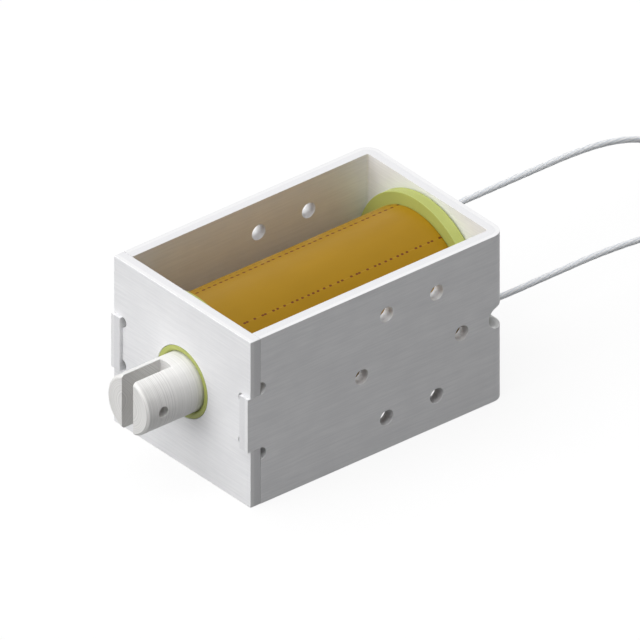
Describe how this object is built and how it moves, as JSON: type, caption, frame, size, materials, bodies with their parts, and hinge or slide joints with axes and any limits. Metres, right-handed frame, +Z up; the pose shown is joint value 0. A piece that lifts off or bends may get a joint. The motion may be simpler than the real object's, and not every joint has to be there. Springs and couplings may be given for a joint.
{
  "type": "push pull solenoid",
  "caption": "Open frame solenoid: a folded steel frame round a taped coil, a plunger with a slotted clevis in front, a push pin behind and two wire leads.",
  "frame": {"origin": "middle of the part at the level of the frame's lower edges, half-way between the clevis tip and the push pin's tip, which is also the middle of the frame", "axes": "+Z up, +Y along the plunger's axis from the clevis to the push pin, +X to the right seen from the clevis"},
  "size_m": [0.0569, 0.1819, 0.0381],
  "materials": {
    "plated_sheet_steel": "bright zinc plated mild steel strip with a fine rolled grain",
    "bobbin_nylon": "moulded yellow-green nylon",
    "inner_tape": "polyester tape",
    "enamelled_copper": "enamelled copper wire",
    "coil_tape": "golden brown polyimide tape wound over the coil",
    "pole_iron": "turned and plated iron",
    "washer_brass": "flat rolled brass shim",
    "plunger_nickel": "turned, nickel plated steel",
    "pin_stainless": "ground stainless steel",
    "sleeve_glass_fibre": "varnished glass fibre sleeving",
    "solder": "soldered joint",
    "lead_insulation": "light grey-blue PVC insulation over stranded wire",
    "tinned_copper": "stripped and tinned strands"
  },
  "bodies": {
    "frame": {"frame_channel": "plated_sheet_steel", "front_plate": "plated_sheet_steel", "bobbin": "bobbin_nylon", "core_tape": "inner_tape", "magnet_wire_coil": "enamelled_copper", "coil_wrap": "coil_tape", "pole_piece": "pole_iron", "anti_residual_washer": "washer_brass", "splice_sleeve_left": "sleeve_glass_fibre", "solder_joint_left": "solder", "magnet_wire_tail_left": "enamelled_copper", "lead_left": "lead_insulation", "lead_coil_left": "lead_insulation", "bare_end_left": "tinned_copper", "splice_sleeve_right": "sleeve_glass_fibre", "solder_joint_right": "solder", "magnet_wire_tail_right": "enamelled_copper", "lead_right": "lead_insulation", "lead_coil_right": "lead_insulation", "bare_end_right": "tinned_copper"},
    "plunger": {"plunger": "plunger_nickel", "push_pin": "pin_stainless"}
  },
  "joints": [
    {"name": "plunger_stroke", "type": "slide", "parent": "frame", "child": "plunger", "axis": [0, -1, 0], "range_m": [0, 0.0127]}
  ]
}
